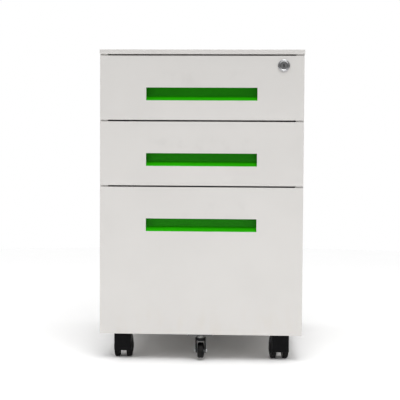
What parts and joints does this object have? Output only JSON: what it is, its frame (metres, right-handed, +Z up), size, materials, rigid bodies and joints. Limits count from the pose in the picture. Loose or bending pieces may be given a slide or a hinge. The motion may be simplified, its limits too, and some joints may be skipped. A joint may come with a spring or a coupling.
{
  "type": "mobile filing pedestal",
  "caption": "Steel drawer unit on casters: shallow drawers over a hanging-file drawer, recessed pulls, one lock for all drawers, and an anti-tip caster under the front.",
  "frame": {"origin": "on the floor, below the centre of the overall box, with all drawers closed", "axes": "+Z up, -Y towards the drawer fronts, +X to the right as seen from the front"},
  "size_m": [0.392, 0.503, 0.6],
  "materials": {
    "powder_coat": "fine matt powder coat, warm light grey",
    "green_plastic": "satin moulded plastic, leaf green",
    "black_nylon": "satin moulded nylon, black",
    "zinc_steel": "bright zinc-plated steel",
    "chrome": "polished chrome plate"
  },
  "bodies": {
    "cabinet": {"top_panel": "powder_coat", "left_side_panel": "powder_coat", "right_side_panel": "powder_coat", "back_panel": "powder_coat", "base_panel": "powder_coat", "top_rail": "powder_coat", "rear_uprights": "powder_coat", "caster_mount_plates": "zinc_steel", "caster_stems": "zinc_steel", "lock_bar_guides": "zinc_steel", "upper_slide_outer_members": "zinc_steel", "middle_slide_outer_members": "zinc_steel", "file_slide_outer_members": "zinc_steel"},
    "upper_drawer": {"upper_drawer_front": "powder_coat", "upper_drawer_tray": "powder_coat", "upper_drawer_handle": "green_plastic", "upper_slide_left_inner": "zinc_steel", "upper_slide_right_inner": "zinc_steel", "lock_barrel": "chrome", "lock_nut": "zinc_steel"},
    "upper_slide_middles": {"upper_slide_left_middle": "zinc_steel", "upper_slide_right_middle": "zinc_steel"},
    "middle_drawer": {"middle_drawer_front": "powder_coat", "middle_drawer_tray": "powder_coat", "middle_drawer_handle": "green_plastic", "middle_slide_left_inner": "zinc_steel", "middle_slide_right_inner": "zinc_steel"},
    "middle_slide_middles": {"middle_slide_left_middle": "zinc_steel", "middle_slide_right_middle": "zinc_steel"},
    "file_drawer": {"file_drawer_front": "powder_coat", "file_drawer_tray": "powder_coat", "file_drawer_handle": "green_plastic", "file_slide_left_inner": "zinc_steel", "file_slide_right_inner": "zinc_steel", "file_hanger_strips": "zinc_steel", "tip_caster_plate": "zinc_steel"},
    "file_slide_middles": {"file_slide_left_middle": "zinc_steel", "file_slide_right_middle": "zinc_steel"},
    "lock_core": {"lock_plug": "chrome", "lock_cam": "zinc_steel"},
    "lock_slider": {"lock_bar": "zinc_steel"},
    "front_left_swivel": {"front_left_caster_hood": "black_nylon", "front_left_caster_axle": "zinc_steel"},
    "front_left_left_roller": {"front_left_caster_left_wheel": "black_nylon"},
    "front_left_right_roller": {"front_left_caster_right_wheel": "black_nylon"},
    "front_right_swivel": {"front_right_caster_hood": "black_nylon", "front_right_caster_axle": "zinc_steel"},
    "front_right_left_roller": {"front_right_caster_left_wheel": "black_nylon"},
    "front_right_right_roller": {"front_right_caster_right_wheel": "black_nylon"},
    "rear_left_swivel": {"rear_left_caster_hood": "black_nylon", "rear_left_caster_axle": "zinc_steel"},
    "rear_left_left_roller": {"rear_left_caster_left_wheel": "black_nylon"},
    "rear_left_right_roller": {"rear_left_caster_right_wheel": "black_nylon"},
    "rear_right_swivel": {"rear_right_caster_hood": "black_nylon", "rear_right_caster_axle": "zinc_steel"},
    "rear_right_left_roller": {"rear_right_caster_left_wheel": "black_nylon"},
    "rear_right_right_roller": {"rear_right_caster_right_wheel": "black_nylon"},
    "tip_swivel": {"tip_caster_fork": "black_nylon", "tip_caster_axle": "zinc_steel"},
    "tip_roller": {"tip_caster_wheel": "black_nylon"}
  },
  "joints": [
    {"name": "upper_drawer_slide", "type": "slide", "parent": "cabinet", "child": "upper_drawer", "axis": [0, -1, 0], "range_m": [0, 0.4]},
    {"name": "upper_slide_middles_follow", "type": "slide", "parent": "cabinet", "child": "upper_slide_middles", "axis": [0, -1, 0], "range_m": [0, 0.2]},
    {"name": "middle_drawer_slide", "type": "slide", "parent": "cabinet", "child": "middle_drawer", "axis": [0, -1, 0], "range_m": [0, 0.4]},
    {"name": "middle_slide_middles_follow", "type": "slide", "parent": "cabinet", "child": "middle_slide_middles", "axis": [0, -1, 0], "range_m": [0, 0.2]},
    {"name": "file_drawer_slide", "type": "slide", "parent": "cabinet", "child": "file_drawer", "axis": [0, -1, 0], "range_m": [0, 0.4]},
    {"name": "file_slide_middles_follow", "type": "slide", "parent": "cabinet", "child": "file_slide_middles", "axis": [0, -1, 0], "range_m": [0, 0.2]},
    {"name": "lock_turn", "type": "hinge", "parent": "upper_drawer", "child": "lock_core", "pos_m": [0.156, -0.2485, 0.5696], "axis": [0, 1, 0], "range_deg": [0, 90]},
    {"name": "lock_bar_drop", "type": "slide", "parent": "cabinet", "child": "lock_slider", "axis": [0, 0, -1], "range_m": [0, 0.008]},
    {"name": "front_left_caster_turn", "type": "hinge", "parent": "cabinet", "child": "front_left_swivel", "pos_m": [-0.154, -0.2085, 0.04], "axis": [0, 0, 1], "continuous": true},
    {"name": "front_left_left_wheel_spin", "type": "hinge", "parent": "front_left_swivel", "child": "front_left_left_roller", "pos_m": [-0.154, -0.1945, 0.02], "axis": [1, 0, 0], "continuous": true},
    {"name": "front_left_right_wheel_spin", "type": "hinge", "parent": "front_left_swivel", "child": "front_left_right_roller", "pos_m": [-0.154, -0.1945, 0.02], "axis": [1, 0, 0], "continuous": true},
    {"name": "front_right_caster_turn", "type": "hinge", "parent": "cabinet", "child": "front_right_swivel", "pos_m": [0.154, -0.2085, 0.04], "axis": [0, 0, 1], "continuous": true},
    {"name": "front_right_left_wheel_spin", "type": "hinge", "parent": "front_right_swivel", "child": "front_right_left_roller", "pos_m": [0.15205, -0.19464, 0.02], "axis": [0.9903, 0.1392, 0], "continuous": true},
    {"name": "front_right_right_wheel_spin", "type": "hinge", "parent": "front_right_swivel", "child": "front_right_right_roller", "pos_m": [0.15205, -0.19464, 0.02], "axis": [0.9903, 0.1392, 0], "continuous": true},
    {"name": "rear_left_caster_turn", "type": "hinge", "parent": "cabinet", "child": "rear_left_swivel", "pos_m": [-0.154, 0.2015, 0.04], "axis": [0, 0, 1], "continuous": true},
    {"name": "rear_left_left_wheel_spin", "type": "hinge", "parent": "rear_left_swivel", "child": "rear_left_left_roller", "pos_m": [-0.154, 0.2155, 0.02], "axis": [1, 0, 0], "continuous": true},
    {"name": "rear_left_right_wheel_spin", "type": "hinge", "parent": "rear_left_swivel", "child": "rear_left_right_roller", "pos_m": [-0.154, 0.2155, 0.02], "axis": [1, 0, 0], "continuous": true},
    {"name": "rear_right_caster_turn", "type": "hinge", "parent": "cabinet", "child": "rear_right_swivel", "pos_m": [0.154, 0.2015, 0.04], "axis": [0, 0, 1], "continuous": true},
    {"name": "rear_right_left_wheel_spin", "type": "hinge", "parent": "rear_right_swivel", "child": "rear_right_left_roller", "pos_m": [0.154, 0.2155, 0.02], "axis": [1, 0, 0], "continuous": true},
    {"name": "rear_right_right_wheel_spin", "type": "hinge", "parent": "rear_right_swivel", "child": "rear_right_right_roller", "pos_m": [0.154, 0.2155, 0.02], "axis": [1, 0, 0], "continuous": true},
    {"name": "tip_caster_turn", "type": "hinge", "parent": "file_drawer", "child": "tip_swivel", "pos_m": [0, -0.2385, 0.045], "axis": [0, 0, 1], "continuous": true},
    {"name": "tip_wheel_spin", "type": "hinge", "parent": "tip_swivel", "child": "tip_roller", "pos_m": [0, -0.2285, 0.0195], "axis": [1, 0, 0], "continuous": true}
  ],
  "couplings": [
    {"joint": "upper_slide_middles_follow", "follows": "upper_drawer_slide", "ratio": 0.5},
    {"joint": "middle_slide_middles_follow", "follows": "middle_drawer_slide", "ratio": 0.5},
    {"joint": "file_slide_middles_follow", "follows": "file_drawer_slide", "ratio": 0.5},
    {"joint": "lock_turn", "follows": "lock_bar_drop", "rad_per_m": 196}
  ]
}
